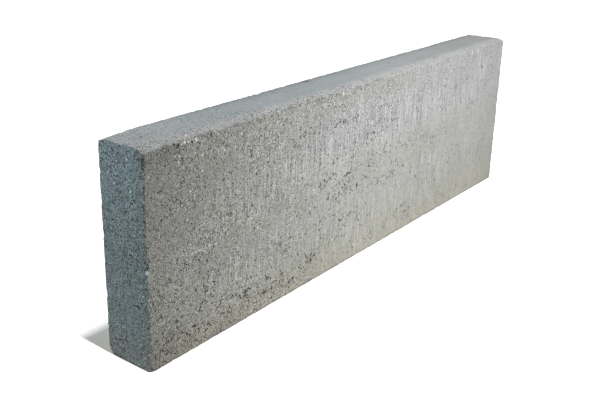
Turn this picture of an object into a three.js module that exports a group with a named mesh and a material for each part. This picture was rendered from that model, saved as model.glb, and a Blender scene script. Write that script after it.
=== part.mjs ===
// Edging kerb, one stone of cast concrete with the same section from end to end.
//
// Millimetres, +Z up. The kerb stands on its bed, as it is laid: +X runs along the course, the
// road face looks along -Y, and the origin is in the middle of the bed.

import * as THREE from 'three';

// The stone, over its flat faces.
const LENGTH = 1000;
const THICKNESS = 80;
const HEIGHT = 300;

// Low bevel where the top meets the road face. The mould's corner strip leaves it, so its two
// edges are soft.
const TOP_BEVEL_WIDTH = 13;
const TOP_BEVEL_DROP = 4;
const TOP_BEVEL_EASE = 3;

// Steep bevel where the back meets the bed, which keeps the heel clear of the mortar.
const HEEL_BEVEL_WIDTH = 6;
const HEEL_BEVEL_RISE = 12;
const HEEL_BEVEL_EASE = 4;

// The other two arrises along the length are square, and only as soft as a cast edge is.
const BACK_ARRIS_RADIUS = 3;
const TOE_ARRIS_RADIUS = 1.5;

// Straight pieces in each soft edge.
const EASE_FACETS = 8;

const FRONT = -THICKNESS / 2;
const BACK = THICKNESS / 2;

/** The section's corners, counter-clockwise seen from the kerb's +X end, each with its radius. */
function sectionCorners() {
  return [
    { point: new THREE.Vector2(FRONT, 0), radius: TOE_ARRIS_RADIUS },
    { point: new THREE.Vector2(BACK - HEEL_BEVEL_WIDTH, 0), radius: HEEL_BEVEL_EASE },
    { point: new THREE.Vector2(BACK, HEEL_BEVEL_RISE), radius: HEEL_BEVEL_EASE },
    { point: new THREE.Vector2(BACK, HEIGHT), radius: BACK_ARRIS_RADIUS },
    { point: new THREE.Vector2(FRONT + TOP_BEVEL_WIDTH, HEIGHT), radius: TOP_BEVEL_EASE },
    { point: new THREE.Vector2(FRONT, HEIGHT - TOP_BEVEL_DROP), radius: TOP_BEVEL_EASE },
  ];
}

/**
 * Adds one rounded corner of a counter-clockwise convex outline. The arc touches both sides, so
 * its centre lies on the line that halves the corner, radius / sin(half angle) from the point.
 */
function addRoundedCorner(outline, before, corner, after) {
  const { point, radius } = corner;
  const toBefore = before.clone().sub(point).normalize();
  const toAfter = after.clone().sub(point).normalize();
  const halfAngle = Math.acos(toBefore.dot(toAfter)) / 2;
  const centre = toBefore.clone().add(toAfter).setLength(radius / Math.sin(halfAngle)).add(point);

  // Each side's outward normal is the direction from the centre to the point where it is touched.
  const startAngle = Math.atan2(toBefore.x, -toBefore.y);
  const endAngle = Math.atan2(-toAfter.x, toAfter.y);
  outline.absarc(centre.x, centre.y, radius, startAngle, endAngle, false);
}

/** The closed section, in the plane across the kerb: x is the kerb's Y, and y its Z. */
function kerbSection() {
  const outline = new THREE.Shape();
  const corners = sectionCorners();
  corners.forEach((corner, index) => {
    const before = corners.at(index - 1).point;
    const after = corners[(index + 1) % corners.length].point;
    addRoundedCorner(outline, before, corner, after);
  });
  return outline.closePath();
}

/** The cast stone: the section carried along the whole length between two square butting ends. */
function kerbStone() {
  const geometry = new THREE.ExtrudeGeometry(kerbSection(), {
    depth: LENGTH,
    steps: 1,
    // An arc in a shape is cut into twice this many pieces.
    curveSegments: EASE_FACETS / 2,
    bevelEnabled: false,
  });
  geometry.translate(0, 0, -LENGTH / 2);

  const concrete = new THREE.MeshStandardMaterial({
    color: 0x9a9b96,
    roughness: 0.95,
    metalness: 0,
  });

  const stone = new THREE.Mesh(geometry, concrete);
  stone.name = 'kerb_stone';
  // Two quarter turns carry the section's x, y and z to the kerb's Y, Z and X.
  stone.rotation.set(Math.PI / 2, Math.PI / 2, 0);
  return stone;
}

const kerb = new THREE.Group();
kerb.add(kerbStone());

export default kerb;
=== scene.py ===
"""A cast concrete edging kerb, finished as the worn, porous stone that it is.

Metres, in the frame of the CAD part: +X runs along the kerb, the road face looks along -Y and the
bed stands on Z = 0. One closed surface replaces the plain solid. It is worked out with numpy as
the kerb's section carried along its length, softened and chipped at its arrises and pitted, and
then one concrete material gives it grain, pores, mould streaks and stains. The material also holds
painted shade in the pores, the hollows and the dark marks and towards the ends of the upright
faces, and painted cool light in the bluish tint of the top and the ends.
"""

import math

import bpy
import numpy as np
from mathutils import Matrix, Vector


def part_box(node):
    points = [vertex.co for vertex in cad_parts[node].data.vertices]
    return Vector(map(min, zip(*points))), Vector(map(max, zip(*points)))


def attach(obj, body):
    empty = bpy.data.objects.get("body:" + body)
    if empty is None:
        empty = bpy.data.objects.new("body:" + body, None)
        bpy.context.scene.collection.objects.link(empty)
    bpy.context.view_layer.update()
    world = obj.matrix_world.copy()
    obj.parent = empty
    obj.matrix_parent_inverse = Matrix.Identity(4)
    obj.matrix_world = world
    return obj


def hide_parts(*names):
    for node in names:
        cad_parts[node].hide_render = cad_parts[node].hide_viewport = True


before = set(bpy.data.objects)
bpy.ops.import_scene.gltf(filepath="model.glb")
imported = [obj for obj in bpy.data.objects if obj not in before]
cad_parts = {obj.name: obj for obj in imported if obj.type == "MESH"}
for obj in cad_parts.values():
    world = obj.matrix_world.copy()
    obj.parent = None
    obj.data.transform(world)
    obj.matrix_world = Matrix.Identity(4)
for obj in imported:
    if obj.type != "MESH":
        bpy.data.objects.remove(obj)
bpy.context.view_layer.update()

MM = 0.001

STONE_NODE = "kerb_stone"
STONE_LOW, STONE_HIGH = (np.array(corner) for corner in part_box(STONE_NODE))
LENGTH, THICKNESS, HEIGHT = STONE_HIGH - STONE_LOW
LEFT_END, FRONT, BED = STONE_LOW
RIGHT_END, BACK, TOP = STONE_HIGH

# The section's bevels and soft arrises, as on the solid.
TOP_BEVEL_WIDTH, TOP_BEVEL_DROP, TOP_BEVEL_EASE = 13 * MM, 4 * MM, 3 * MM
HEEL_BEVEL_WIDTH, HEEL_BEVEL_RISE, HEEL_BEVEL_EASE = 6 * MM, 12 * MM, 4 * MM
BACK_ARRIS_RADIUS, TOE_ARRIS_RADIUS = 3 * MM, 1.5 * MM
ARC_STEPS = 12

# The soft edge round each end, which the solid doesn't have.
END_ARRIS_RADIUS = 1.4 * MM

# Spacing of the surface's points: fine at the arrises, where it chips, and wider on the faces.
FINE_STEP, FINE_REACH = 1.0 * MM, 9 * MM
LONG_STEP, CROSS_STEP = 4.4 * MM, 2.3 * MM

# Spacing of the outline's points to which an end's points measure their distance, and the number
# of points over which a side's steps are counted up.
OUTLINE_STEP = 0.5 * MM
SUMMED_POINTS = 4001

# Gap between the sheets of the bake map, and where the right end's sheet starts on it.
MAP_GAP = 0.006
MAP_RIGHT_END = 0.5


def on_left_end(inward, up):
    """The left end's point that many millimetres in from the road face and up from the bed."""
    return (LEFT_END, FRONT + inward * MM, BED + up * MM)


def on_road_face(along, up):
    """The road face's point that many millimetres from the left end and up from the bed."""
    return (LEFT_END + along * MM, FRONT, BED + up * MM)


def on_lip(along, down):
    """The point of the bevel's worn lower edge that many millimetres from the left end and down
    from the top."""
    return (LEFT_END + along * MM, FRONT + 1 * MM, TOP - down * MM)


# Places worn off flat: where, which way the worn spot faces, how far it reaches, and how deep.
WORN_SPOTS = (
    ((LEFT_END, FRONT, BED), (-1.0, -1.0, -0.25), 48 * MM, 3.8 * MM),
    ((LEFT_END, FRONT + 3 * MM, TOP - 1 * MM), (-0.5, -0.55, 0.67), 24 * MM, 3.2 * MM),
    ((LEFT_END, FRONT, TOP - 15 * MM), (-0.8, -0.6, 0.0), 13 * MM, 1.6 * MM),
    ((LEFT_END, BACK, TOP), (-0.05, 0.30, 0.95), 115 * MM, 4.0 * MM),
    ((LEFT_END + 100 * MM, FRONT, TOP - 3 * MM), (0.0, -0.80, 0.60), 62 * MM, 2.4 * MM),
    ((RIGHT_END, BACK, BED + 6 * MM), (1.0, 1.0, -0.4), 30 * MM, 3.0 * MM),
    ((RIGHT_END, FRONT, BED + 1 * MM), (1.0, -0.8, -0.5), 18 * MM, 1.8 * MM),
    ((RIGHT_END - 190 * MM, BACK, TOP), (0.0, 0.70, 0.70), 40 * MM, 2.2 * MM),
)
WORN_EASE = 1.2 * MM
WORN_ROUGHNESS, WORN_LUMP = 0.9 * MM, 7 * MM

# Hollows sink towards a core that lies this far inside the stone's box.
CORE_GAP = 12 * MM

# Round dents: the middle of the ball that fits each one, and its radius.
DENTS = (
    (on_road_face(85, 63), 2.2 * MM),
    (on_left_end(0, 146), 3.2 * MM),
    ((LEFT_END + 76 * MM, FRONT, TOP - 5 * MM), 3.0 * MM),
    ((RIGHT_END, BACK, BED + 210 * MM), 4.0 * MM),
    ((RIGHT_END - 240 * MM, BACK, BED + 96 * MM), 2.6 * MM),
)

# Where pores crowd on the road face, in millimetres: the middle's distance from the left end and
# its height, the half length and half height of the patch, and how strong it is.
PORE_PATCHES = (
    # the courses in which the mix was laid and pressed
    (330, 246, 110, 4, 0.45),
    (440, 247, 40, 5, 0.65),
    (560, 246, 70, 4, 0.5),
    (315, 162, 40, 5, 0.35),
    (370, 157, 26, 7, 0.5),
    (450, 155, 35, 5, 0.5),
    (640, 164, 110, 6, 0.4),
    (240, 93, 60, 9, 0.45),
    (105, 84, 30, 14, 0.45),
    (15, 92, 25, 6, 0.6),
    # loose pores in the middle
    (440, 135, 110, 26, 0.38),
    (430, 195, 110, 30, 0.34),
    (570, 120, 70, 22, 0.35),
    (430, 80, 90, 30, 0.30),
    (230, 180, 60, 14, 0.25),
    (110, 122, 45, 14, 0.25),
    (760, 120, 200, 90, 0.20),
    (540, 215, 60, 22, 0.25),
    # the porous foot
    (70, 40, 90, 34, 0.50),
    (250, 32, 110, 18, 0.45),
    (130, 40, 12, 6, 0.3),
    (180, 43, 30, 5, 0.35),
    (243, 42, 14, 6, 0.3),
    (225, 27, 32, 5, 0.2),
    (145, 20, 16, 9, 0.3),
    (20, 15, 26, 10, 0.2),
    (287, 15, 5, 12, 0.35),
    (296, 25, 10, 5, 0.45),
    (335, 40, 28, 10, 0.4),
    (514, 25, 9, 7, 0.6),
    (640, 35, 26, 16, 0.5),
    (655, 8, 8, 4, 0.8),
    (770, 26, 14, 4, 0.8),
    (930, 14, 60, 8, 0.5),
    # loose clusters
    (212, 187, 9, 5, 0.55),
    (423, 82, 9, 8, 0.4),
    (665, 88, 12, 7, 0.6),
    (745, 230, 60, 18, 0.35),
    (870, 192, 20, 14, 0.5),
)

# Where the paste is stained darker, or lighter where the strength is negative, in the same form.
STAIN_PATCHES = (
    # under the bevel, in the upper courses and down the left arris
    (500, 288, 110, 34, 0.11),
    (330, 296, 230, 9, 0.08),
    (40, 287, 40, 16, 0.10),
    (560, 280, 70, 14, 0.05),
    (440, 248, 70, 8, 0.05),
    (85, 240, 45, 75, 0.07),
    (530, 230, 60, 20, 0.03),
    # at half height
    (250, 152, 60, 14, 0.04),
    (230, 130, 140, 26, 0.05),
    (90, 117, 30, 20, 0.04),
    (855, 72, 60, 28, 0.035),
    # at the foot
    (680, 35, 200, 32, 0.06),
    (30, 30, 34, 22, 0.18),
    (120, 6, 90, 12, 0.14),
    (990, 40, 30, 60, 0.05),
    # lighter places
    (300, 190, 110, 20, -0.05),
    (750, 195, 110, 30, -0.06),
    (220, 60, 80, 12, -0.05),
    (205, 205, 80, 40, -0.05),
    (255, 8, 40, 12, -0.08),
    (790, 8, 90, 12, -0.05),
    (860, 200, 150, 75, -0.03),
    (540, 188, 90, 26, -0.05),
    (450, 95, 40, 60, -0.035),
    (650, 100, 40, 22, -0.045),
)

# Small marks at the arrises: where, how many millimetres each way, and how much lighter, or
# darker where the strength is negative.
MARKS = (
    # a chip on the left arris: its fresh white face, and painted shade in the dent over it
    (on_left_end(0, 141), (2.4, 3.4, 1.9), 3.2),
    (on_left_end(0, 146), (2.4, 2.8, 1.8), -0.9),
    # painted shade in the gap in the left arris under the worn corner, and in the small gaps below
    # it
    (on_left_end(0, 285), (2.8, 2.8, 9), -0.9),
    (on_left_end(0, 266), (2.2, 2.2, 3), -0.5),
    (on_left_end(0, 252), (2.2, 2.2, 2), -0.6),
    (on_left_end(0, 240), (2.2, 2.2, 4), -0.75),
    (on_left_end(0, 221), (2.0, 2.0, 2), -0.6),
    (on_left_end(0, 208), (2.0, 2.0, 3), -0.5),
    (on_left_end(0, 190), (2.0, 2.0, 2), -0.4),
    # painted shade in a pit, the light burr and the dull stretch on the back arris
    ((LEFT_END + 416 * MM, BACK - 8 * MM, TOP), (5, 6, 4), -0.6),
    ((LEFT_END + 505 * MM, BACK, TOP), (45, 4, 4), 0.3),
    ((LEFT_END + 250 * MM, BACK, TOP), (130, 9, 9), -0.12),
)

# Single pale grains and dark pores, whose darkness is painted shade: where, the radius in
# millimetres, and how much lighter, or darker where the strength is negative.
SINGLE_SPECKS = (
    # crumbs in the bevel's lower edge
    (on_lip(52, 6.5), 3.4, -0.95),
    (on_lip(59, 8.5), 3.6, -0.95),
    (on_lip(66, 8.5), 2.8, 1.6),
    (on_lip(71, 8), 3.0, 1.6),
    (on_lip(78, 8), 2.8, 1.4),
    (on_lip(84, 9.5), 2.8, -0.8),
    (on_lip(92, 8.5), 3.0, 1.6),
    (on_road_face(118, 292), 2.8, -0.7),
    # the left end and the road face
    (on_left_end(18, 232), 3.4, -0.9),
    (on_left_end(24, 242), 2.4, 2.2),
    (on_left_end(14, 240), 2.0, -0.7),
    (on_left_end(52, 248), 2.2, 1.8),
    (on_left_end(48, 246), 2.2, -0.8),
    (on_left_end(24, 257), 1.9, 1.6),
    (on_left_end(28, 282), 2.2, 1.7),
    (on_left_end(25, 160), 2.2, 2.0),
    (on_left_end(55, 180), 2.0, -0.7),
    (on_left_end(70, 135), 2.4, 1.4),
    (on_left_end(9, 107), 2.0, 2.0),
    (on_left_end(57, 21), 2.2, 1.6),
    (on_road_face(102, 269), 2.6, 1.8),
    (on_road_face(132, 267), 2.2, 1.5),
    (on_road_face(101, 248), 2.4, 1.7),
    (on_road_face(9, 264), 2.2, 1.4),
    (on_road_face(79, 227), 2.2, 1.8),
    (on_road_face(72, 190), 2.0, 1.4),
    (on_road_face(28, 241), 2.2, -0.9),
    (on_road_face(41, 206), 2.2, -0.9),
    (on_road_face(142, 226), 2.6, -0.9),
    (on_road_face(299, 24), 3.6, -0.75),
    (on_road_face(289, 20), 3.2, -0.9),
    (on_road_face(288, 13), 2.4, -0.6),
    (on_road_face(246, 40), 2.2, 1.3),
    (on_road_face(237, 46), 3.0, -0.7),
    (on_road_face(255, 36), 2.8, -0.7),
    (on_road_face(357, 242), 3.4, -0.8),
    (on_road_face(321, 251), 3.0, -0.85),
    (on_road_face(319, 245), 2.6, -0.8),
    (on_road_face(421, 246), 3.6, -0.85),
    (on_road_face(402, 244), 3.8, -0.7),
    (on_road_face(432, 190), 3.0, -0.7),
    (on_road_face(397, 184), 3.0, -0.7),
    (on_road_face(206, 135), 2.8, -0.8),
    (on_road_face(212, 135), 2.0, 1.2),
    (on_road_face(108, 121), 2.6, -0.9),
    (on_road_face(427, 80), 4.0, -0.5),
    (on_road_face(310, 59), 3.2, -0.7),
    (on_road_face(527, 266), 4.4, -0.5),
    (on_road_face(417, 291), 3.2, 1.0),
    (on_road_face(775, 269), 5.0, 0.5),
    (on_road_face(858, 292), 5.5, 0.35),
    (on_road_face(884, 291), 5.0, 0.4),
)

# Where the mould dragged upright streaks, in the form of the pore patches.
STREAK_PATCHES = (
    (540, 217, 330, 26, 1.0),
    (190, 188, 150, 36, 0.8),
    (180, 88, 120, 22, 0.8),
    (462, 270, 12, 30, 1.0),
    (625, 272, 20, 28, 0.8),
    (910, 260, 25, 50, 0.8),
    (710, 115, 45, 30, 0.6),
    (560, 60, 260, 40, 0.4),
)


# -------- repeatable noise


def cell_values(cells, salt):
    """One value from 0 to 1 for each whole-numbered cell. The cell's three numbers and the salt
    are multiplied by large odd numbers, joined by exclusive or, and stirred by shifts."""
    x, y, z = (cells[..., axis].astype(np.int64).astype(np.uint32) for axis in range(3))
    mixed = x * np.uint32(73856093) ^ y * np.uint32(19349663) ^ z * np.uint32(83492791)
    mixed = mixed ^ np.uint32(salt * 2654435761 % 2**32)
    for shift, factor in ((15, 2246822519), (13, 3266489917)):
        mixed = (mixed ^ (mixed >> np.uint32(shift))) * np.uint32(factor)
    return (mixed ^ (mixed >> np.uint32(16))) / float(2**32)


def smooth_noise(points, size, salt):
    """Smooth noise from 0 to 1 with lumps of about `size`. The values at the eight corners of a
    point's cell are blended by the fade 3t^2 - 2t^3 along each axis."""
    place = points / size
    cell = np.floor(place)
    fade = place - cell
    fade = fade * fade * (3 - 2 * fade)
    total = np.zeros(len(points))
    for corner in np.ndindex(2, 2, 2):
        weight = np.prod(np.where(corner, fade, 1 - fade), axis=1)
        total += weight * cell_values(cell + corner, salt)
    return total


def rough_noise(points, size, layers, salt):
    """Layers of smooth noise, each half the size and half the strength of the one before, scaled
    so that the sum still runs from 0 to 1."""
    strengths = 0.5 ** np.arange(layers)
    parts = [
        strength * smooth_noise(points, size * strength, salt + layer)
        for layer, strength in enumerate(strengths)
    ]
    return np.sum(parts, axis=0) / strengths.sum()


def hollows(points, spacing, share, smallest, largest, salt):
    """Depth of round hollows. Space is cut into cubes of side `spacing`. A `share` of them hold
    one ball each, with a centre and a radius of its own, and a point inside a ball at distance d
    from its centre lies (r^2 - d^2) / r deep. The deepest of the 27 nearest balls counts."""
    home = np.floor(points / spacing)
    deepest = np.zeros(len(points))
    for step in np.ndindex(3, 3, 3):
        cell = home + np.array(step) - 1
        centre = np.stack([cell_values(cell, salt + axis) for axis in (1, 2, 3)], axis=-1)
        away = np.sum((points - (cell + centre) * spacing) ** 2, axis=1)
        radius = smallest + (largest - smallest) * cell_values(cell, salt + 4) ** 2
        depth = np.where(cell_values(cell, salt) < share, (radius**2 - away) / radius, 0)
        deepest = np.maximum(deepest, depth)
    return deepest


def rising(value, low, high):
    """0 below `low`, 1 above `high`, and smooth between, by 3t^2 - 2t^3."""
    t = np.clip((value - low) / (high - low), 0, 1)
    return t * t * (3 - 2 * t)


# -------- the kerb's section


def unit(vectors):
    """The vectors, each at length 1."""
    return vectors / np.linalg.norm(vectors, axis=-1, keepdims=True)


def section_outline():
    """The section's outline, counter-clockwise seen from the +X end: (y, z) points and their
    outward directions. A corner is an arc that touches both of its sides, so its centre lies
    radius / sin(half angle) from the corner on the line that halves it, and the arc turns evenly
    from one side's outward direction to the next side's."""
    corners = np.array(
        [
            (FRONT, BED, TOE_ARRIS_RADIUS),
            (BACK - HEEL_BEVEL_WIDTH, BED, HEEL_BEVEL_EASE),
            (BACK, BED + HEEL_BEVEL_RISE, HEEL_BEVEL_EASE),
            (BACK, TOP, BACK_ARRIS_RADIUS),
            (FRONT + TOP_BEVEL_WIDTH, TOP, TOP_BEVEL_EASE),
            (FRONT, TOP - TOP_BEVEL_DROP, TOP_BEVEL_EASE),
        ]
    )
    points, radii = corners[:, :2], corners[:, 2:]
    to_before = unit(np.roll(points, 1, axis=0) - points)
    to_after = unit(np.roll(points, -1, axis=0) - points)
    half_angle = np.arccos(np.sum(to_before * to_after, axis=1, keepdims=True)) / 2
    centres = points + unit(to_before + to_after) * radii / np.sin(half_angle)
    first = np.arctan2(to_before[:, :1], -to_before[:, 1:])
    last = np.arctan2(-to_after[:, :1], to_after[:, 1:])
    turn = np.mod(last - first, 2 * math.pi)
    angles = first + turn * np.linspace(0, 1, ARC_STEPS + 1)
    outward = np.stack([np.cos(angles), np.sin(angles)], axis=-1)
    arcs = centres[:, None] + radii[:, :, None] * outward
    return arcs.reshape(-1, 2), outward.reshape(-1, 2)


def outline_lengths(points):
    """How far round the closed outline each point lies. The whole way round comes last."""
    loop = np.concatenate([points, points[:1]])
    return np.concatenate([[0], np.cumsum(np.linalg.norm(np.diff(loop, axis=0), axis=1))])


def round_outline(values, lengths, places):
    """The outline's (y, z) values at places round it, straight between its points."""
    loop = np.concatenate([values, values[:1]])
    columns = [np.interp(places, lengths, loop[:, axis], period=lengths[-1]) for axis in (0, 1)]
    return np.stack(columns, axis=-1)


def filled_outline():
    """The outline's points and outward directions at each OUTLINE_STEP round it."""
    points, outward = section_outline()
    lengths = outline_lengths(points)
    places = np.arange(0, lengths[-1], OUTLINE_STEP)
    facing = unit(round_outline(outward, lengths, places))
    return round_outline(points, lengths, places), facing


def graded_shares(length, wide_step):
    """Shares from 0 to 1 along a side. The step grows smoothly from FINE_STEP at both ends to
    `wide_step` at twice FINE_REACH from them. The steps are counted up along the side, and the
    shares are where the count comes out whole."""
    along = np.linspace(0, length, SUMMED_POINTS)
    from_end = np.minimum(along, length - along)
    step = FINE_STEP + (wide_step - FINE_STEP) * rising(from_end, 0, 2 * FINE_REACH)
    counted = np.concatenate([[0], np.cumsum(np.diff(along) / step[1:])])
    whole = round(counted[-1])
    return np.interp(np.linspace(0, counted[-1], whole + 1), counted, along) / length


def section_ring(across, upward):
    """The outline's points where the four sides' shares fall, with their outward directions, how
    far round the outline each lies, and how far each lies from the nearest long arris. The sides
    meet in the middle of the toe, the heel's bevel, the back arris and the top bevel."""
    points, outward = section_outline()
    lengths = outline_lengths(points)
    whole = lengths[-1]
    arc = ARC_STEPS + 1
    arrises = lengths[ARC_STEPS // 2 :: arc]
    toe, back_arris = arrises[0], arrises[3]
    heel = (lengths[2 * arc - 1] + lengths[2 * arc]) / 2
    bevel = (lengths[5 * arc - 1] + lengths[5 * arc]) / 2
    places = np.concatenate(
        [
            toe + (heel - toe) * across[:-1],
            heel + (back_arris - heel) * upward[:-1],
            back_arris + (bevel - back_arris) * (1 - across[:0:-1]),
            bevel + (toe + whole - bevel) * (1 - upward[:0:-1]),
        ]
    )
    ring = round_outline(points, lengths, places)
    facing = unit(round_outline(outward, lengths, places))
    gap = np.abs(places[:, None] - arrises)
    to_arris = np.minimum(gap, whole - gap).min(axis=1)
    return ring, facing, places - toe, to_arris


# -------- the stone's surface


def ring_sides(ring, n_across, n_up):
    """The ring's bed, back, top and front sides, each from its front or lower end."""
    back, top, front = n_across, n_across + n_up, 2 * n_across + n_up
    closed = np.concatenate([ring, ring[:1]])
    return (
        closed[: back + 1],
        closed[back : top + 1],
        closed[top : front + 1][::-1],
        closed[front:][::-1],
    )


def end_grid(ring, across, upward):
    """Points that fill the section: a Coons patch, which blends the ring's four sides by the two
    shares and takes the blend of its four corners away."""
    bed, back, top, front = ring_sides(ring, len(across) - 1, len(upward) - 1)
    u, v = across[:, None, None], upward[None, :, None]
    sides = (1 - v) * bed[:, None] + v * top[:, None] + (1 - u) * front[None] + u * back[None]
    corners = (
        (1 - u) * (1 - v) * bed[0] + u * (1 - v) * bed[-1] + (1 - u) * v * top[0] + u * v * top[-1]
    )
    return sides - corners


def end_indices(n_across, n_up, ring_start, inner_start):
    """Which vertex stands at each place of an end's grid: the ring's round the edge, and the
    end's own inside."""
    grid = np.empty((n_across + 1, n_up + 1), int)
    ring = ring_start + np.arange(2 * (n_across + n_up))
    grid[:, 0], grid[-1], grid[:, -1], grid[0] = ring_sides(ring, n_across, n_up)
    inner = grid[1:-1, 1:-1]
    inner[...] = inner_start + np.arange(inner.size).reshape(inner.shape)
    return grid


def cell_corners(grid):
    """The four corners of each cell of a grid, first axis first."""
    corners = [grid[:-1, :-1], grid[1:, :-1], grid[1:, 1:], grid[:-1, 1:]]
    return np.stack(corners, axis=2)


def lattice(x, section, facing, from_outline, to_long_arris):
    """The section's points repeated at each x, as columns: places, the section's outward
    directions, -1 or 1 for the nearer end, and the distances to that end, to the outline and to
    the nearest long arris."""
    points = np.column_stack([np.repeat(x, len(section)), np.tile(section, (len(x), 1))])
    side = np.where(points[:, 0] < (LEFT_END + RIGHT_END) / 2, -1.0, 1.0)
    from_end = np.minimum(points[:, 0] - LEFT_END, RIGHT_END - points[:, 0])
    return (
        points,
        np.tile(facing, (len(x), 1)),
        side,
        from_end,
        np.tile(from_outline, len(x)),
        np.tile(to_long_arris, len(x)),
    )


def with_end_arrises(points, facing, side, from_end, from_outline):
    """The points with the end arrises made round, and their outward directions. Within the
    radius r of an end arris, a point a from the end and b from the outline moves onto the circle
    of that radius round (r, r)."""
    r = END_ARRIS_RADIUS
    a, b = np.minimum(from_end, r), np.minimum(from_outline, r)
    reach = np.hypot(a - r, b - r)
    on_arc = (from_end < r) & (from_outline < r)
    scale = np.where(on_arc, r / reach, 1)
    new_a = np.where(on_arc, r + (a - r) * scale, from_end)
    new_b = np.where(on_arc, r + (b - r) * scale, from_outline)
    points = points.copy()
    points[:, 0] -= side * (new_a - from_end)
    points[:, 1:] -= facing * (new_b - from_outline)[:, None]
    on_end = from_end <= 0
    share_end = np.where(on_arc, (r - a) / reach, np.where(on_end, 1, 0))
    share_side = np.where(on_arc, (r - b) / reach, np.where(on_end, 0, 1))
    return points, unit(np.column_stack([share_end * side, share_side[:, None] * facing]))


def stone_quads(n_along, n_across, n_up):
    """The sleeve's quads, closed round the ring, and then each end's, all facing outwards."""
    n_ring = 2 * (n_across + n_up)
    n_inner = (n_across - 1) * (n_up - 1)
    first_inner = (n_along + 1) * n_ring
    sleeve = np.arange(first_inner).reshape(n_along + 1, n_ring)
    wrapped = np.concatenate([sleeve, sleeve[:, :1]], axis=1)
    left = end_indices(n_across, n_up, 0, first_inner)
    right = end_indices(n_across, n_up, n_along * n_ring, first_inner + n_inner)
    grids = (wrapped.T, left.T, right)
    return np.concatenate([cell_corners(grid).reshape(-1, 4) for grid in grids])


def bake_map(along, ring_places, across, upward):
    """Flat map of every quad's corners: the sleeve unrolled as one sheet, as wide as the image,
    and the two ends side by side above it."""
    perimeter = 2 * (THICKNESS + HEIGHT)
    scale = (1 - 3 * MAP_GAP) / (perimeter + THICKNESS)
    u = MAP_GAP + (1 - 2 * MAP_GAP) * along
    v = MAP_GAP + scale * np.append(ring_places, perimeter)
    sheet = np.stack(np.broadcast_arrays(u[None, :], v[:, None]), -1)
    ends = []
    for left_edge in (MAP_GAP, MAP_RIGHT_END):
        end_u = left_edge + HEIGHT * upward / LENGTH
        end_v = 2 * MAP_GAP + scale * (perimeter + THICKNESS * across)
        ends.append(np.stack(np.broadcast_arrays(end_u[None, :], end_v[:, None]), -1))
    left, right = ends
    grids = (sheet, left.transpose(1, 0, 2), right)
    return np.concatenate([cell_corners(grid).reshape(-1, 2) for grid in grids])


def stone_surface():
    """The kerb before it is worn: the ring carried along X, and a grid over each end.

    Returns the vertices, their outward directions, each one's distance to the nearest arris, the
    quads, and the bake map's corners."""
    along = graded_shares(LENGTH, LONG_STEP)
    across = graded_shares(THICKNESS, CROSS_STEP)
    upward = graded_shares(HEIGHT, CROSS_STEP)
    ring, ring_facing, ring_places, ring_to_arris = section_ring(across, upward)
    sleeve = lattice(
        LEFT_END + LENGTH * along, ring, ring_facing, np.zeros(len(ring)), ring_to_arris
    )

    inner = end_grid(ring, across, upward)[1:-1, 1:-1].reshape(-1, 2)
    outline, outline_facing = filled_outline()
    away = np.linalg.norm(inner[:, None] - outline, axis=2)
    facing = outline_facing[away.argmin(axis=1)]
    no_arris = np.full(len(inner), np.inf)
    left, right = (
        lattice([end], inner, facing, away.min(axis=1), no_arris) for end in (LEFT_END, RIGHT_END)
    )
    columns = [np.concatenate(column) for column in zip(sleeve, left, right)]
    points, facing, side, from_end, from_outline, to_long_arris = columns

    points, outward = with_end_arrises(points, facing, side, from_end, from_outline)
    to_arris = np.minimum(np.maximum(from_end, from_outline), to_long_arris)
    quads = stone_quads(len(along) - 1, len(across) - 1, len(upward) - 1)
    return points, outward, to_arris, quads, bake_map(along, ring_places, across, upward)


# -------- wear


def worn(points, outward):
    """The points and their outward directions after every worn spot is taken off. A spot is a
    shallow bowl upside down: its surface lies `deep` below its place and rises to nothing at
    `reach`. A point outside it by g moves back by g, or by (g + e)^2 / 4e while g is less than
    the ease e, and turns to face the spot's way."""
    for place, way, reach, deep in WORN_SPOTS:
        way = unit(np.array(way))
        away = points - np.array(place)
        out = away @ way
        across = np.sum(away**2, axis=1) - out**2
        rough = WORN_ROUGHNESS * (rough_noise(points, WORN_LUMP, 3, 71) - 0.5)
        outside = out + deep * (1 - across / reach**2) + rough
        eased = np.clip(outside + WORN_EASE, 0, 2 * WORN_EASE) ** 2 / (4 * WORN_EASE)
        back = np.where(outside > WORN_EASE, outside, eased)
        points = points - back[:, None] * way
        turned = rising(outside, -WORN_EASE, WORN_EASE)[:, None]
        outward = unit(outward * (1 - turned) + way * turned)
    return points, outward


def sunk(points, depth):
    """The points moved into the stone by their depths, towards the nearest point of a core that
    lies CORE_GAP inside the stone's box. The ways in meet only at the core, so none cross."""
    core = np.clip(points, STONE_LOW + CORE_GAP, STONE_HIGH - CORE_GAP)
    return points + unit(core - points) * depth[:, None]


def dents(points):
    """Depth of the round dents: (r^2 - d^2) / r at distance d from a ball's middle."""
    deepest = np.zeros(len(points))
    for place, radius in DENTS:
        away = np.sum((points - np.array(place)) ** 2, axis=1)
        deepest = np.maximum(deepest, (radius**2 - away) / radius)
    return deepest


def marked(points):
    """How much lighter each point is for the small marks, or darker where it is below 0: the sum
    of their strengths, each fading as exp(-d^2), where d is the distance in units of its reach
    along each axis."""
    total = np.zeros(len(points))
    for place, reach, strength in MARKS:
        away = (points - np.array(place)) / (np.array(reach) * MM)
        total += strength * np.exp(-np.sum(away**2, axis=1))
    return total


def open_to_chips(points, to_arris):
    """How easily each point chips: 1 at an arris and 0 from 6 mm away. Little of it is left on
    the soft edge between the bevel and the top, and on the bevel's lower edge right of the
    middle."""
    at_arris = 1 - rising(to_arris, 1.0 * MM, 6 * MM)
    from_soft_edge = np.abs(points[:, 1] - FRONT - TOP_BEVEL_WIDTH)
    soft_edge = 1 - rising(from_soft_edge, 6 * MM, 9 * MM)
    soft_edge *= rising(points[:, 2], TOP - 3 * MM, TOP - 1 * MM)
    right_bevel = rising(points[:, 0], 0, 150 * MM) * rising(-points[:, 1], 0, 15 * MM)
    right_bevel *= rising(points[:, 2], TOP - 12 * MM, TOP - 8 * MM)
    return at_arris * (1 - 0.8 * np.maximum(soft_edge, right_bevel))


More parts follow.
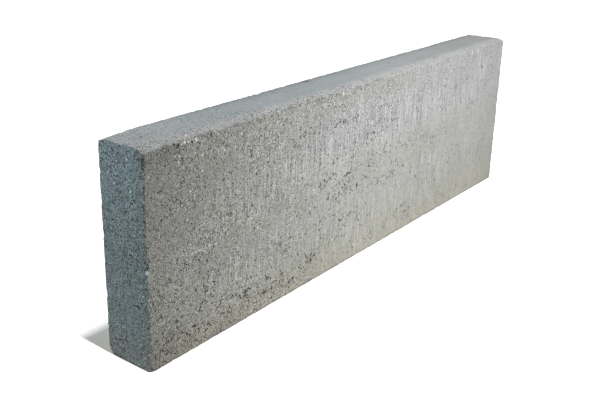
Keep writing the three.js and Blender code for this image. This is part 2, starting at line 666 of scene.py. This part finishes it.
def wear_depth(points, to_arris):
    """How deep each point lies below the mould's flat face, in metres, and how much of that is a
    hollow. Long lumps and fine roughness lie everywhere, round air holes and dents on the faces,
    and crumbled stretches and chips at the arrises."""
    flat = 0.25 * MM * rough_noise(points, 110 * MM, 3, 11)
    flat += 0.10 * MM * rough_noise(points, 9 * MM, 2, 23)
    holes = 0.5 * hollows(points, 17 * MM, 0.30, 1.2 * MM, 3.4 * MM, 31)
    crumbs = 0.9 * MM * rising(rough_noise(points, 5 * MM, 2, 41), 0.45, 0.75)
    chips = hollows(points, 13 * MM, 0.35, 1.5 * MM, 6.5 * MM, 53)
    chips *= rising(smooth_noise(points, 45 * MM, 61), 0.35, 0.7)
    at_arris = open_to_chips(points, to_arris) * (crumbs + 0.6 * chips)
    depth = flat + np.maximum(np.maximum(holes, dents(points)), at_arris)
    return depth, np.clip((depth - flat) / MM, 0, 1)


def patched(points, patches):
    """How strongly a table's patches cover each point, at most 1: the sum of their strengths,
    each fading with distance from its middle as exp(-(along / half length)^2 - (up / half
    height)^2). The back has the same patches the other way round."""
    along = np.where(points[:, 1] > (FRONT + BACK) / 2, -points[:, 0], points[:, 0]) - LEFT_END
    cover = np.zeros(len(points))
    for middle, height, half_length, half_height, strength in patches:
        off_along = (along - middle * MM) / (half_length * MM)
        off_up = (points[:, 2] - height * MM) / (half_height * MM)
        cover += strength * np.exp(-(off_along**2) - off_up**2)
    return np.minimum(cover, 1)


def placed(name, data):
    """A new object of the scene that shows a mesh, a light or a camera."""
    thing = bpy.data.objects.new(name, data)
    bpy.context.scene.collection.objects.link(thing)
    return thing


def smooth_mesh(name, points, quads):
    """A mesh of quads, shaded smooth."""
    mesh = bpy.data.meshes.new(name)
    mesh.vertices.add(len(points))
    mesh.vertices.foreach_set("co", points.astype(np.float32).ravel())
    mesh.loops.add(quads.size)
    mesh.loops.foreach_set("vertex_index", quads.astype(np.int32).ravel())
    mesh.polygons.add(len(quads))
    mesh.polygons.foreach_set("loop_start", np.arange(0, quads.size, 4, dtype=np.int32))
    mesh.polygons.foreach_set("use_smooth", np.ones(len(quads), bool))
    mesh.update(calc_edges=True)
    mesh.validate()
    return mesh


def make_stone():
    """The worn stone, with its bake map and with what its material reads at each point: how
    hollow it is, how near an arris, the patches and marks that cover it, and its facing."""
    points, outward, to_arris, quads, map_corners = stone_surface()
    depth, hollow = wear_depth(points, to_arris)
    shades = {
        "hollow": hollow,
        "arris": np.exp(-to_arris / (3 * MM)),
        "crowded": patched(points, PORE_PATCHES),
        "dragged": patched(points, STREAK_PATCHES),
        "stained": patched(points, STAIN_PATCHES),
        "marked": marked(points),
    }
    points, outward = worn(points, outward)
    mesh = smooth_mesh("kerb_cast", sunk(points, depth), quads)
    flat_map = mesh.uv_layers.new(name="OFBake")
    flat_map.data.foreach_set("uv", map_corners.astype(np.float32).ravel())
    for name, values in shades.items():
        layer = mesh.attributes.new(name, "FLOAT", "POINT")
        layer.data.foreach_set("value", values.astype(np.float32))
    facing = mesh.attributes.new("facing", "FLOAT_VECTOR", "POINT")
    facing.data.foreach_set("vector", outward.astype(np.float32).ravel())
    return placed("kerb_cast", mesh)


# -------- shader maths


class Wire:
    """An output socket of a material's nodes. Arithmetic on wires adds Math nodes."""

    def __init__(self, graph, socket):
        self.graph, self.socket = graph, socket

    def math(self, operation, *values):
        return self.graph.node("ShaderNodeMath", {"operation": operation}, dict(enumerate(values)))

    def __add__(self, other):
        return self.math("ADD", self, other)

    def __mul__(self, other):
        return self.math("MULTIPLY", self, other)

    def __sub__(self, other):
        return self.math("SUBTRACT", self, other)

    def __rsub__(self, other):
        return self.math("SUBTRACT", other, self)

    def __abs__(self):
        return self.math("ABSOLUTE", self)

    __radd__, __rmul__ = __add__, __mul__

    def at_least(self, other):
        return self.math("MAXIMUM", self, other)

    def rising(self, low, high):
        """0 below `low`, 1 above `high`, smooth between. It falls where `high` is the lower."""
        return self.graph.node(
            "ShaderNodeMapRange",
            {"interpolation_type": "SMOOTHSTEP"},
            {"Value": self, "From Min": low, "From Max": high, "To Min": 0.0, "To Max": 1.0},
        )

    def window(self, middle, reach):
        """1 at `middle`, and 0 from `reach` away."""
        return abs(self - middle).rising(reach, 0.0)

    def output(self, name):
        """Another output of the node that this wire comes from."""
        return Wire(self.graph, self.socket.node.outputs[name])


class Graph:
    """The nodes of one material."""

    def __init__(self, material):
        material.use_nodes = True
        self.tree = material.node_tree
        self.shader = self.tree.nodes["Principled BSDF"]

    def node(self, kind, settings, inputs, output=0):
        """Adds a node, sets its settings first and then its sockets, each to a value or to a
        wire, and gives back one of its outputs."""
        made = self.tree.nodes.new(kind)
        for name, value in settings.items():
            setattr(made, name, value)
        for key, value in inputs.items():
            self.feed(made.inputs[key], value)
        return Wire(self, made.outputs[output])

    def feed(self, socket, value):
        """Links a wire to a socket, or sets the socket itself to a value."""
        if isinstance(value, Wire):
            self.tree.links.new(value.socket, socket)
        else:
            socket.default_value = value

    def feed_shader(self, values):
        """Feeds the shader's sockets, each given by its name."""
        for name, value in values.items():
            self.feed(self.shader.inputs[name], value)

    def attribute(self, name, output="Fac"):
        return self.node("ShaderNodeAttribute", {"attribute_name": name}, {}, output)

    def parts(self, value):
        """The three numbers of a colour or vector."""
        first = self.node("ShaderNodeSeparateXYZ", {}, {0: value})
        return [first.output(axis) for axis in "XYZ"]

    def times(self, value, factors):
        """A vector or colour with each of its numbers multiplied by its own factor. On a place,
        a factor below 1 stretches along its axis the pattern that the place is fed to."""
        return self.node("ShaderNodeVectorMath", {"operation": "MULTIPLY"}, {0: value, 1: factors})

    def scaled(self, colour, shade):
        """A colour with all of its numbers multiplied by one number."""
        return self.node(
            "ShaderNodeVectorMath", {"operation": "SCALE"}, {0: colour, "Scale": shade}
        )

    def blend(self, share, first, second):
        """The first colour where `share` is 0, the second where it is 1."""
        return self.node(
            "ShaderNodeMix", {"data_type": "RGBA"}, {0: share, 6: first, 7: second}, 2
        )

    def noise(self, place, size, detail, roughness=0.5):
        """Noise from 0 to 1, mostly near its middle, with lumps of about `size` metres."""
        return self.node(
            "ShaderNodeTexNoise",
            {"noise_dimensions": "3D"},
            {"Vector": place, "Scale": 1 / size, "Detail": detail, "Roughness": roughness},
        )

    def moved(self, place, size, most):
        """The place, pushed about by up to `most` metres by noise with lumps of about `size`."""
        push = self.noise(place, size, 0.0).output("Color")
        return self.node(
            "ShaderNodeVectorMath",
            {"operation": "MULTIPLY_ADD"},
            {0: push, 1: (most, most, most), 2: place},
        )

    def cells(self, place, size):
        """Space cut into cells about `size` wide: the distance to the middle of the cell, in
        cells. The node's colour is one chance value of three numbers for each cell."""
        return self.node(
            "ShaderNodeTexVoronoi",
            {"feature": "F1", "voronoi_dimensions": "3D"},
            {"Vector": place, "Scale": 1 / size, "Randomness": 1.0},
            "Distance",
        )

    def grains(self, place, size):
        """A value from 0 to 1 for each grain of about `size`."""
        return self.parts(self.cells(place, size).output("Color"))[0]

    def spots(self, place, spacing, smallest, largest, share):
        """Round spots: 1 in the middle and 0 at the rim. Space is cut into cells about `spacing`
        wide, and a `share` of them hold a ball each, whose radius in cells goes from `smallest`
        to `largest`."""
        gap = self.cells(place, spacing)
        chance, size, _ = self.parts(gap.output("Color"))
        radius = smallest + (largest - smallest) * size
        kept = self.node("ShaderNodeMath", {"operation": "LESS_THAN"}, {0: chance, 1: share})
        return (radius - gap).rising(0.0, 0.5 * smallest) * kept

    def ball(self, place, middle, radius):
        """1 in the inner third of a ball and 0 at its rim."""
        gap = self.node(
            "ShaderNodeVectorMath", {"operation": "DISTANCE"}, {0: place, 1: middle}, "Value"
        )
        return gap.rising(radius, radius / 3)


# -------- concrete

# Colours of the cement paste, before sand, pores and stains shade it. The ends' and the top's
# bluish tints are partly the stone's own colour and partly painted cool light, and the bevel and
# the top are darker than the road face as painted shade that offsets the strong light from above.
PASTE = {
    "rosy": (0.224, 0.220, 0.223, 1.0),
    "greenish": (0.216, 0.223, 0.204, 1.0),
    "cool": (0.219, 0.221, 0.223, 1.0),
    "brown": (0.219, 0.217, 0.186, 1.0),
    "under the bevel": (0.222, 0.213, 0.196, 1.0),
    "foot": (0.225, 0.213, 0.186, 1.0),
    "end": (0.127, 0.166, 0.173, 1.0),
    "high on the end": (0.147, 0.198, 0.217, 1.0),
    "low on the end": (0.128, 0.151, 0.153, 1.0),
    "end beside the arris": (0.180, 0.190, 0.185, 1.0),
    "bevel": (0.206, 0.208, 0.209, 1.0),
    "left on the bevel": (0.166, 0.170, 0.169, 1.0),
    "top": (0.148, 0.165, 0.173, 1.0),
    "right on the top": (0.162, 0.166, 0.168, 1.0),
    "left on the top": (0.154, 0.165, 0.168, 1.0),
}
WARM_TINGE, COOL_TINGE = (1.017, 1.0, 0.975, 1.0), (0.983, 1.0, 1.025, 1.0)
DARKEST_SHADE = 0.08

# The scratch on the road face: its height where its line meets the left end, how much it climbs
# along the kerb, and half its width.
SCRATCH_HEIGHT, SCRATCH_CLIMB, SCRATCH_REACH = 138.25 * MM, 0.0235, 1.9 * MM


class Surface:
    """Where a point of the stone lies, for its material. `along` is measured from the left end,
    `y` from the middle of the thickness and `up` from the bed, in metres. The others are masks,
    mostly from 0 to 1."""

    def __init__(self, graph):
        self.place = graph.node("ShaderNodeTexCoord", {}, {}, "Object")
        x, self.y, self.up = graph.parts(self.place)
        self.along = x - LEFT_END

        # which face: one of the ends, the top, anything that looks up, or the road face and back
        facing_x, _, facing_z = graph.parts(graph.attribute("facing", "Vector"))
        self.end = abs(facing_x).rising(0.5, 0.95)
        self.top = facing_z.rising(0.955, 0.995)
        self.sloped = facing_z.rising(0.2, 0.75)
        self.upright = 1 - self.end.at_least(self.sloped)

        # what the mesh carries at each point
        self.hollow = graph.attribute("hollow")
        self.crowded = graph.attribute("crowded")
        self.dragged = graph.attribute("dragged")
        self.stained = graph.attribute("stained")
        self.marked = graph.attribute("marked")
        self.left_arris = graph.attribute("arris") * self.along.rising(20 * MM, 5 * MM)

        # which part of the face
        self.left = self.along.rising(550 * MM, -50 * MM)
        self.leftmost = self.along.rising(100 * MM, 0.0)
        self.right = self.along.rising(400 * MM, 700 * MM)
        self.high = self.up.rising(130 * MM, 240 * MM)
        lip_height = self.up.window(292 * MM, 4 * MM)
        self.lip = lip_height * self.along.rising(320 * MM, 220 * MM) * self.upright
        end_strip = self.y.rising(-18 * MM, -38 * MM)
        self.beside_arris = end_strip * (0.4 + 0.6 * self.up.rising(120 * MM, 220 * MM)) * self.end


def sand_grains(graph, at):
    """Sand, lighter above 0 and darker below. The cube of each grain's value, from -1 to 1,
    leaves only a few that stand out. It is stronger in patches, soft noise joins it, and its dark
    grains are made stronger than its light ones."""
    grain = 2.0 * graph.grains(graph.times(at.place, (1.0, 1.0, 0.75)), 1.1 * MM) - 1
    patchy = 0.66 + 0.52 * graph.noise(at.place, 45 * MM, 2.0).rising(0.40, 0.60)
    sand = grain * grain * grain * patchy + 0.3 * (graph.noise(at.place, 2.4 * MM, 1.0) - 0.5)
    return sand - 0.16 * (abs(sand) - 0.2)


def sand_strength(at):
    """How strongly the sand shows: most on the ends and towards the left end, and less on the
    top, on the bevel and where the mould dragged streaks."""
    coarse = 0.12 + 1.30 * at.along.rising(920 * MM, 0.0)
    coarse = coarse + 0.34 * at.high * (1 - at.left) + 0.18 * at.high * at.left
    coarse = coarse - 0.40 * at.along.window(420 * MM, 280 * MM) * (1 - 0.7 * at.high)
    coarse = coarse + at.end * (1.48 + 0.48 * at.high - coarse)
    on_top = 1 - at.top * (0.40 + 0.31 * at.along.rising(150 * MM, 400 * MM))
    on_bevel = 1 - 0.25 * at.sloped * (1 - at.top)
    in_streaks = 1 - 0.22 * at.dragged * at.upright
    return on_top * on_bevel * coarse * in_streaks


def mould_streaks(graph, at):
    """Fine upright streaks on the upright faces, lighter above 0 and darker below, and broader
    light ones, from 0 to 1, where the mould dragged."""
    streaks = graph.noise(graph.times(at.place, (1.0, 1.0, 0.06)), 2.7 * MM, 1.0, 0.6)
    fine = (streaks - 0.5) * at.upright * (0.45 + 0.55 * at.dragged)
    fine = fine * at.along.rising(-20 * MM, 200 * MM)
    return fine, streaks.rising(0.52, 0.66) * at.dragged


def pores(graph, at):
    """Ragged pores, which crowd in the patches and along some arrises, their pale rims, and a few
    small round pores everywhere, each from 0 to 1. The material paints shade into the pores and a
    highlight on to the rims."""
    layers = graph.noise(graph.times(at.place, (0.5, 1.0, 1.0)), 18 * MM, 1.0, 0.6)
    crowding = (0.45 + 0.75 * layers.rising(0.40, 0.58)) * at.crowded * at.upright
    rough_arris = at.left_arris * (0.3 + 0.7 * at.up.rising(150 * MM, 200 * MM))
    openness = 0.18 * crowding + 0.05 * rough_arris + 0.05 * at.lip - 0.06 * at.top
    paste = graph.noise(at.place, 4.8 * MM, 2.0, 0.8)
    ragged = (0.335 + openness - paste).rising(0.0, 0.02)
    rims = (0.355 + openness - paste).rising(0.0, 0.012) - ragged
    share = 0.16 + 0.5 * crowding + 0.42 * at.end - 0.25 * at.top
    small = graph.spots(graph.moved(at.place, 3 * MM, 5 * MM), 7.0 * MM, 0.14, 0.27, share)
    return ragged, rims, small


def light_grains(graph, at):
    """Single light grains: most along the lip and high at the left corner, some on the ends, and
    a few on the left half."""
    corner = at.along.rising(260 * MM, 120 * MM) * at.up.rising(225 * MM, 262 * MM) * at.upright
    share = 0.04 * at.left * (1 - at.top) + 0.24 * corner + 0.15 * at.end + 0.4 * at.lip
    return graph.spots(at.place, 7.0 * MM, 0.15, 0.27, share)


def scratch(at):
    """A thin light line on the road face, from 0 to 1: a window round a height that climbs along
    the kerb, faded at both of its ends."""
    line = (at.up - SCRATCH_CLIMB * at.along).window(SCRATCH_HEIGHT, SCRATCH_REACH)
    line = line * at.along.rising(73 * MM, 80 * MM) * at.along.rising(124 * MM, 110 * MM)
    return line * at.y.rising(-20 * MM, -35 * MM)


def broad_shade(at, shade):
    """The shade, made darker towards both ends of the upright faces, partly the stone's own tone
    and partly painted shade for the light falling off there, in the stains, on the end beside the
    arris and along the top's back edge, and lighter along the middle of the top."""
    back_edge = at.y.rising(20 * MM, 32 * MM) * at.along.rising(100 * MM, 200 * MM) * at.sloped
    middle = at.along.window(500 * MM, 400 * MM) * at.y.window(0.0, 30 * MM) * at.top
    # darker towards the left end: partly the stone's own tone and partly painted shade
    shade = shade * (1 - 0.24 * at.left * at.upright) * (1 - at.stained * at.upright)
    shade = shade * (1 - 0.20 * at.beside_arris)
    # darker towards both ends and high on the left: painted shade for the light falling off,
    # partly the stone's own tone
    darker = 0.13 * at.right + 0.18 * at.left * at.high + 0.12 * at.leftmost
    shade = shade * (1.02 - darker * at.upright)
    return shade * (1 - 0.14 * back_edge) * (1 + 0.10 * middle)


def end_paste_with_painted_cool_light(graph, at):
    """The ends' paste, which changes with the height. Its bluish tint is partly painted cool
    light.
    """
    high, low = at.up.rising(140 * MM, 270 * MM), at.up.rising(60 * MM, 15 * MM)
    paste = graph.blend(high, PASTE["end"], PASTE["high on the end"])
    return graph.blend(low, paste, PASTE["low on the end"])


def top_paste_with_painted_light(graph, at):
    """The top's paste, which changes along the kerb. Its bluish tint is partly painted cool light,
    and its darkness against the road face is painted shade that offsets the strong light from
    above.
    """
    right, left = at.along.rising(300 * MM, 950 * MM), at.along.rising(100 * MM, 40 * MM)
    paste = graph.blend(right, PASTE["top"], PASTE["right on the top"])
    return graph.blend(left, paste, PASTE["left on the top"])


def paste_colour(graph, at):
    """The paste's colour. Each layer covers the ones before it by its share: cooler high on the
    right, browner low and to the left, stained under the bevel and at the foot, and then the
    colours of the ends, the bevel and the top, which hold painted cool light in the ends' and the
    top's bluish tint and painted shade in the bevel's and the top's darker paste. Small tinges,
    warm and cool, cross all of it."""
    warmth = graph.noise(at.place, 40 * MM, 5.0, 0.7).rising(0.35, 0.65)
    cool = at.up.rising(150 * MM, 220 * MM) * at.along.rising(150 * MM, 400 * MM) * at.upright
    brown = at.up.rising(120 * MM, 0.0) * 0.6 + 0.22 * at.left + 0.12 * at.leftmost
    blotch = graph.noise(at.place, 22 * MM, 2.0).rising(0.40, 0.62)
    under_bevel = at.up.window(292 * MM, 14 * MM) + at.up.window(276 * MM, 22 * MM) * blotch
    under_bevel = under_bevel * at.along.rising(50 * MM, 200 * MM)
    under_bevel = under_bevel * at.along.rising(700 * MM, 550 * MM)
    foot = (0.34 + 0.95 * at.left) * at.up.rising(38 * MM, 6 * MM)
    foot = foot + 0.45 * at.up.rising(85 * MM, 30 * MM) * blotch

    paste = graph.blend(warmth, PASTE["rosy"], PASTE["greenish"])
    layers = (
        (cool, PASTE["cool"]),
        (brown * at.upright, PASTE["brown"]),
        (0.5 * under_bevel * at.upright, PASTE["under the bevel"]),
        (foot * at.upright, PASTE["foot"]),
        (at.end, end_paste_with_painted_cool_light(graph, at)),
        (0.3 * at.beside_arris, PASTE["end beside the arris"]),
        (at.sloped, graph.blend(at.left, PASTE["bevel"], PASTE["left on the bevel"])),
        (at.top * at.y.rising(-32 * MM, -12 * MM), top_paste_with_painted_light(graph, at)),
    )
    for share, colour in layers:
        paste = graph.blend(share, paste, colour)
    tinge = graph.noise(at.place, 5 * MM, 1.0).rising(0.36, 0.64)
    return graph.times(paste, graph.blend(tinge, WARM_TINGE, COOL_TINGE))


def concrete():
    """Grey cement paste with sand, pores and light grains. Its pores crowd in level courses, its
    upright faces keep the streaks of the mould, the foot is stained brown, and the top is
    smooth and bluish, its blue partly painted cool light. The shade, 1 on bare paste, is the sum
    of all that lightens and darkens it, among them painted shade in the pores, the hollows and the
    dark marks and a painted highlight on the pores' rims, and the sand, the streaks and the pores
    also give the relief."""
    material = bpy.data.materials.new("cast_concrete")
    graph = Graph(material)
    at = Surface(graph)
    sand, strength = sand_grains(graph, at), sand_strength(at)
    clumps = graph.noise(at.place, 8 * MM, 1.0) - 0.5
    clouds = graph.noise(at.place, 120 * MM, 2.0) - 0.5
    fine_streaks, light_streaks = mould_streaks(graph, at)
    ragged_pores, rims, small_pores = pores(graph, at)
    shade = (
        1.0
        + strength * (0.98 + 0.34 * at.end) * sand
        + (0.26 - 0.12 * at.end.at_least(at.top)) * clumps
        + 0.3 * clouds
        + 1.15 * fine_streaks
        + 0.22 * light_streaks
        # painted shade darkens the ragged and the small pores, and a painted highlight lightens
        # the rims
        - (1.3 - 0.75 * at.along.rising(150 * MM, 700 * MM)) * ragged_pores
        + 0.12 * rims
        - 0.9 * small_pores
        # painted shade, with some dust, darkens the hollows
        - 0.4 * at.hollow * (1 - 0.6 * at.left_arris)
        + (2.4 + 0.4 * at.end) * light_grains(graph, at)
        + at.marked
        + scratch(at)
    )
    for middle, radius, lighter in SINGLE_SPECKS:
        shade = shade + lighter * graph.ball(at.place, middle, radius * MM)
    shade = broad_shade(at, shade).at_least(DARKEST_SHADE)
    relief = (
        0.12 * strength * sand
        + 0.25 * light_streaks
        - 0.9 * ragged_pores
        - 0.9 * small_pores
    )
    bump = graph.node(
        "ShaderNodeBump", {}, {"Height": relief, "Distance": 1 * MM, "Strength": 1.0}, "Normal"
    )
    graph.feed_shader(
        {
            "Base Color": graph.scaled(paste_colour(graph, at), shade),
            "Roughness": 0.9,
            "Specular IOR Level": 0.3,
            "Normal": bump,
        }
    )
    return material


# -------- stage

FLOOR_REACH = 30.0

# The backdrop's radius at its mouth and where its cove starts, the cove's own radius, the height
# of its wall, how far it stands over the floor, and the steps in its cove and round it.
BOWL_MOUTH, BOWL_COVE, BOWL_BEND, BOWL_TOP = 5.5, 18.0, 10.0, 25.0
BOWL_LIFT = 1 * MM
BOWL_COVE_STEPS, BOWL_STEPS = 8, 64

# The sensor's width and the lens in millimetres, the shift in frame widths, and the turns in
# degrees.
CAMERA_SENSOR, CAMERA_LENS = 36.0, 50.386
CAMERA_SHIFT = (0.05, -0.0367)
CAMERA_PLACE = (-1.1347, -0.7353, 0.5936)
CAMERA_TURNS = (70.662, -0.65, -51.259)

# Soft lights: name, place, the point each is aimed at, width and height, power in watts, tint.
LIGHTS = (
    ("key_strip", (-0.65, -6.85, 29.25), (-0.65, 0, 0), (0.6, 3.8), 12800, (1.0, 1.0, 1.0)),
    ("front_softbox", (0.2, -0.65, 0.45), (0.2, 0, 0.15), (0.5, 0.5), 6.1, (0.98, 1.0, 0.96)),
    ("back_softbox", (0, 2.2, 1.6), (0, 0, 0.1), (2.0, 1.5), 52, (0.97, 1.0, 0.96)),
)
SKY_STRENGTH = 0.02


def plain_material(name, values):
    """A material whose shader values are the same all over."""
    material = bpy.data.materials.new(name)
    Graph(material).feed_shader(values)
    return material


def make_floor():
    """A square sheet round the bed."""
    reach = FLOOR_REACH
    corners = [(-reach, -reach, 0), (reach, -reach, 0), (reach, reach, 0), (-reach, reach, 0)]
    mesh = bpy.data.meshes.new("studio_floor")
    mesh.from_pydata(corners, [], [(0, 1, 2, 3)])
    mesh.materials.append(
        plain_material("pale_floor", {"Base Color": (0.9, 0.9, 0.9, 1.0), "Roughness": 0.9})
    )
    placed("studio_floor", mesh)


def make_backdrop():
    """A white bowl round the floor, which only the camera sees: it carries the floor's white on
    to the horizon and lights nothing. Its profile runs level from the bowl's mouth to the cove,
    round a quarter circle, and up a plain wall. Each profile point is turned about Z."""
    turn = np.linspace(0, math.pi / 2, BOWL_COVE_STEPS + 1)
    wall = BOWL_COVE + BOWL_BEND
    radii = np.concatenate([[BOWL_MOUTH], BOWL_COVE + BOWL_BEND * np.sin(turn), [wall]])
    heights = np.concatenate([[0], BOWL_BEND * (1 - np.cos(turn)), [BOWL_TOP]]) + BOWL_LIFT
    around = np.linspace(0, 2 * math.pi, BOWL_STEPS, endpoint=False)
    spokes = np.stack([np.cos(around), np.sin(around), np.ones(BOWL_STEPS)], axis=-1)
    points = np.stack([radii, radii, heights], axis=-1)[:, None] * spokes
    rows = np.arange(len(radii) * BOWL_STEPS).reshape(len(radii), BOWL_STEPS)
    quads = cell_corners(np.concatenate([rows, rows[:, :1]], axis=1))
    mesh = bpy.data.meshes.new("studio_backdrop")
    mesh.from_pydata(points.reshape(-1, 3).tolist(), [], quads.reshape(-1, 4).tolist())
    material = plain_material(
        "white_backdrop",
        {
            "Base Color": (0.0, 0.0, 0.0, 1.0),
            "Emission Color": (1.0, 1.0, 1.0, 1.0),
            "Emission Strength": 1.0,
        },
    )
    material.cycles.emission_sampling = "NONE"
    mesh.materials.append(material)
    backdrop = placed("studio_backdrop", mesh)
    backdrop.visible_diffuse = False
    backdrop.visible_glossy = False
    backdrop.visible_transmission = False
    backdrop.visible_shadow = False


def make_light(name, place, target, size, power, tint):
    """A rectangular light, turned so that it faces the target."""
    light = bpy.data.lights.new(name, "AREA")
    light.shape = "RECTANGLE"
    light.size, light.size_y = size
    light.energy = power
    light.color = tint
    lamp = placed(name, light)
    lamp.location = place
    towards = Vector(target) - lamp.location
    lamp.rotation_euler = towards.to_track_quat("-Z", "Y").to_euler()


def make_sky():
    """A faint even light from all sides."""
    world = bpy.data.worlds.new("studio")
    bpy.context.scene.world = world
    world.use_nodes = True
    background = world.node_tree.nodes["Background"]
    background.inputs["Color"].default_value = (1, 1, 1, 1)
    background.inputs["Strength"].default_value = SKY_STRENGTH


def make_camera():
    """The camera, with all in focus."""
    camera = bpy.data.cameras.new("camera")
    camera.sensor_width = CAMERA_SENSOR
    camera.lens = CAMERA_LENS
    camera.shift_x, camera.shift_y = CAMERA_SHIFT
    holder = placed("camera", camera)
    holder.location = CAMERA_PLACE
    holder.rotation_euler = [math.radians(angle) for angle in CAMERA_TURNS]
    bpy.context.scene.camera = holder


stone = make_stone()
stone.data.materials.append(concrete())
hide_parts(STONE_NODE)
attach(stone, "root")

make_floor()
make_backdrop()
make_camera()
for light_row in LIGHTS:
    make_light(*light_row)
make_sky()
bpy.context.scene.view_settings.view_transform = "Standard"
